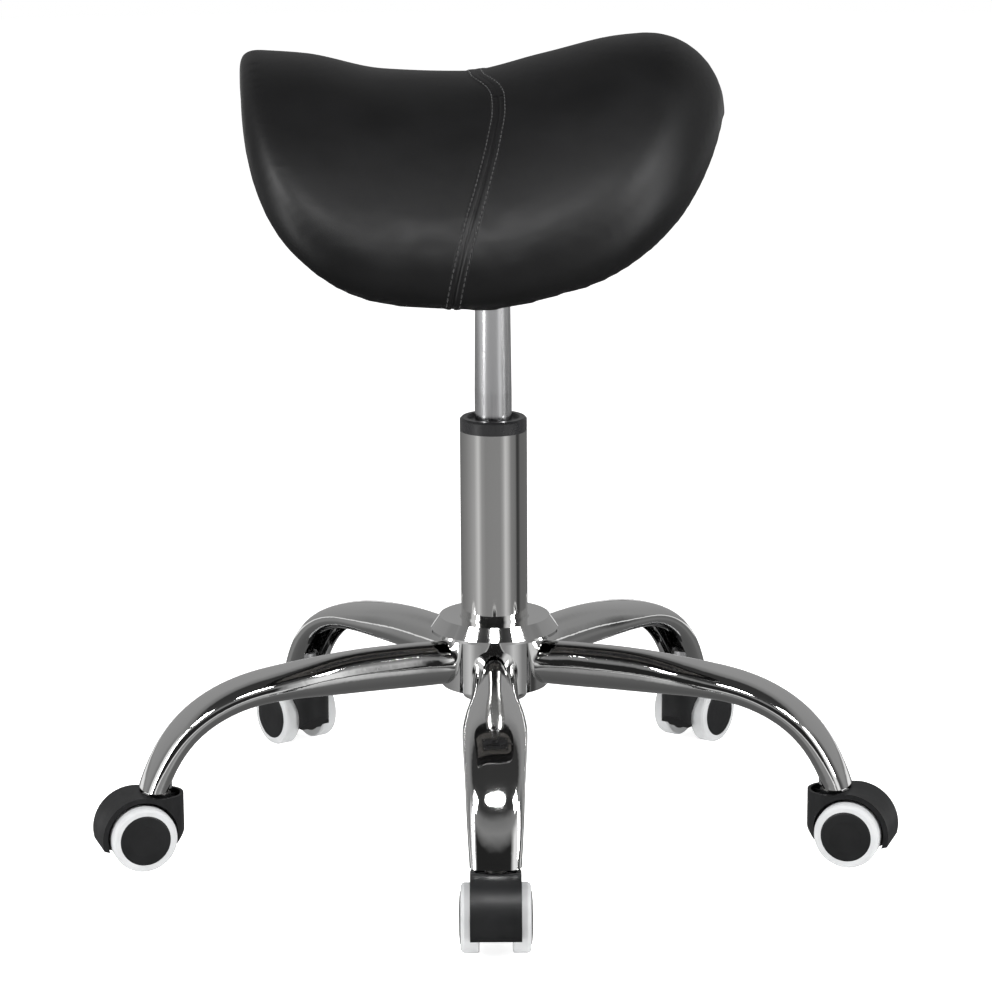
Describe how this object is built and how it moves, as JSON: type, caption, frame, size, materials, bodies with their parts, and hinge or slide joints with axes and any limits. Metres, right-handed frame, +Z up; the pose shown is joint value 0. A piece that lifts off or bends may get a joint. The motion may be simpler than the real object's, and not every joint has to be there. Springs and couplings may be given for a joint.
{
  "type": "rolling stylist stool",
  "caption": "Gas-lift stool with a padded saddle seat on a chrome star base with twin-wheel casters, for salon and barber work.",
  "frame": {"origin": "on the lift column's axis, at the floor that the ten wheels stand on", "axes": "+Z up along the column; +X to the saddle's front, its raised pommel; the front leg stands 4 degrees off -Y"},
  "size_m": [0.6112, 0.5946, 0.6171],
  "materials": {
    "chrome_base": "polished",
    "chrome_column": "polished",
    "satin_steel": "satin",
    "zinc_steel": "satin",
    "black_steel": "satin",
    "bush_plastic": "satin",
    "caster_plastic": "satin",
    "tread": "satin",
    "stop_rubber": "matte",
    "pan_board": "matte",
    "upholstery": "satin",
    "grip_plastic": "matte"
  },
  "bodies": {
    "base": {"base_hub": "chrome_base", "stem_sockets": "satin_steel", "hub_cover": "chrome_base", "column_tube": "chrome_column", "guide_bush": "bush_plastic", "caster_stems": "zinc_steel", "thrust_bearing": "zinc_steel", "leg_1": "chrome_base", "leg_2": "chrome_base", "leg_3": "chrome_base", "leg_4": "chrome_base", "leg_5": "chrome_base"},
    "lift_rod": {"piston_rod": "satin_steel", "rod_piston": "bush_plastic", "retaining_clip": "zinc_steel", "bump_stop": "stop_rubber", "thrust_washer": "zinc_steel"},
    "seat": {"gas_cylinder": "satin_steel", "seat_cushion": "upholstery", "seat_pan": "pan_board", "seat_plate": "black_steel", "seat_bolts": "zinc_steel", "tee_nuts": "zinc_steel", "lever_pivot": "zinc_steel"},
    "release_pin": {"release_pin": "zinc_steel"},
    "lever": {"lever": "black_steel", "lever_grip": "grip_plastic"},
    "caster_1": {"caster_1_housing": "caster_plastic", "caster_1_axle": "zinc_steel"},
    "caster_1_roller_a": {"caster_1_wheel_a": "caster_plastic", "caster_1_tyre_a": "tread"},
    "caster_1_roller_b": {"caster_1_wheel_b": "caster_plastic", "caster_1_tyre_b": "tread"},
    "caster_2": {"caster_2_housing": "caster_plastic", "caster_2_axle": "zinc_steel"},
    "caster_2_roller_a": {"caster_2_wheel_a": "caster_plastic", "caster_2_tyre_a": "tread"},
    "caster_2_roller_b": {"caster_2_wheel_b": "caster_plastic", "caster_2_tyre_b": "tread"},
    "caster_3": {"caster_3_housing": "caster_plastic", "caster_3_axle": "zinc_steel"},
    "caster_3_roller_a": {"caster_3_wheel_a": "caster_plastic", "caster_3_tyre_a": "tread"},
    "caster_3_roller_b": {"caster_3_wheel_b": "caster_plastic", "caster_3_tyre_b": "tread"},
    "caster_4": {"caster_4_housing": "caster_plastic", "caster_4_axle": "zinc_steel"},
    "caster_4_roller_a": {"caster_4_wheel_a": "caster_plastic", "caster_4_tyre_a": "tread"},
    "caster_4_roller_b": {"caster_4_wheel_b": "caster_plastic", "caster_4_tyre_b": "tread"},
    "caster_5": {"caster_5_housing": "caster_plastic", "caster_5_axle": "zinc_steel"},
    "caster_5_roller_a": {"caster_5_wheel_a": "caster_plastic", "caster_5_tyre_a": "tread"},
    "caster_5_roller_b": {"caster_5_wheel_b": "caster_plastic", "caster_5_tyre_b": "tread"}
  },
  "joints": [
    {"name": "seat_swivel", "type": "hinge", "parent": "base", "child": "lift_rod", "pos_m": [0, 0, 0.3], "axis": [0, 0, 1], "continuous": true},
    {"name": "height_slide", "type": "slide", "parent": "lift_rod", "child": "seat", "axis": [0, 0, 1], "range_m": [-0.12, 0]},
    {"name": "lever_tilt", "type": "hinge", "parent": "seat", "child": "lever", "pos_m": [0.022, 0, 0.5035], "axis": [0, -1, 0], "range_deg": [0, 8], "stiffness_Nm_per_rad": 2, "springref_deg": -5.73},
    {"name": "release_press", "type": "slide", "parent": "seat", "child": "release_pin", "axis": [0, 0, -1], "range_m": [0, 0.0032]},
    {"name": "caster_1_swivel", "type": "hinge", "parent": "base", "child": "caster_1", "pos_m": [-0.01866, -0.26685, 0.05], "axis": [0, 0, 1], "continuous": true},
    {"name": "caster_1_spin_a", "type": "hinge", "parent": "caster_1", "child": "caster_1_roller_a", "pos_m": [-0.01988, -0.28431, 0.025], "axis": [0.9976, -0.0698, 0], "continuous": true},
    {"name": "caster_1_spin_b", "type": "hinge", "parent": "caster_1", "child": "caster_1_roller_b", "pos_m": [-0.01988, -0.28431, 0.025], "axis": [0.9976, -0.0698, 0], "continuous": true},
    {"name": "caster_2_swivel", "type": "hinge", "parent": "base", "child": "caster_2", "pos_m": [0.24802, -0.10021, 0.05], "axis": [0, 0, 1], "continuous": true},
    {"name": "caster_2_spin_a", "type": "hinge", "parent": "caster_2", "child": "caster_2_roller_a", "pos_m": [0.26425, -0.10676, 0.025], "axis": [0.3746, 0.9272, 0], "continuous": true},
    {"name": "caster_2_spin_b", "type": "hinge", "parent": "caster_2", "child": "caster_2_roller_b", "pos_m": [0.26425, -0.10676, 0.025], "axis": [0.3746, 0.9272, 0], "continuous": true},
    {"name": "caster_3_swivel", "type": "hinge", "parent": "base", "child": "caster_3", "pos_m": [0.17195, 0.20492, 0.05], "axis": [0, 0, 1], "continuous": true},
    {"name": "caster_3_spin_a", "type": "hinge", "parent": "caster_3", "child": "caster_3_roller_a", "pos_m": [0.18319, 0.21832, 0.025], "axis": [-0.766, 0.6428, 0], "continuous": true},
    {"name": "caster_3_spin_b", "type": "hinge", "parent": "caster_3", "child": "caster_3_roller_b", "pos_m": [0.18319, 0.21832, 0.025], "axis": [-0.766, 0.6428, 0], "continuous": true},
    {"name": "caster_4_swivel", "type": "hinge", "parent": "base", "child": "caster_4", "pos_m": [-0.14175, 0.22685, 0.05], "axis": [0, 0, 1], "continuous": true},
    {"name": "caster_4_spin_a", "type": "hinge", "parent": "caster_4", "child": "caster_4_roller_a", "pos_m": [-0.15103, 0.24169, 0.025], "axis": [-0.848, -0.5299, 0], "continuous": true},
    {"name": "caster_4_spin_b", "type": "hinge", "parent": "caster_4", "child": "caster_4_roller_b", "pos_m": [-0.15103, 0.24169, 0.025], "axis": [-0.848, -0.5299, 0], "continuous": true},
    {"name": "caster_5_swivel", "type": "hinge", "parent": "base", "child": "caster_5", "pos_m": [-0.25955, -0.06471, 0.05], "axis": [0, 0, 1], "continuous": true},
    {"name": "caster_5_spin_a", "type": "hinge", "parent": "caster_5", "child": "caster_5_roller_a", "pos_m": [-0.27653, -0.06895, 0.025], "axis": [0.2419, -0.9703, 0], "continuous": true},
    {"name": "caster_5_spin_b", "type": "hinge", "parent": "caster_5", "child": "caster_5_roller_b", "pos_m": [-0.27653, -0.06895, 0.025], "axis": [0.2419, -0.9703, 0], "continuous": true}
  ],
  "couplings": [
    {"joint": "release_press", "follows": "lever_tilt", "m_per_rad": 0.022}
  ]
}
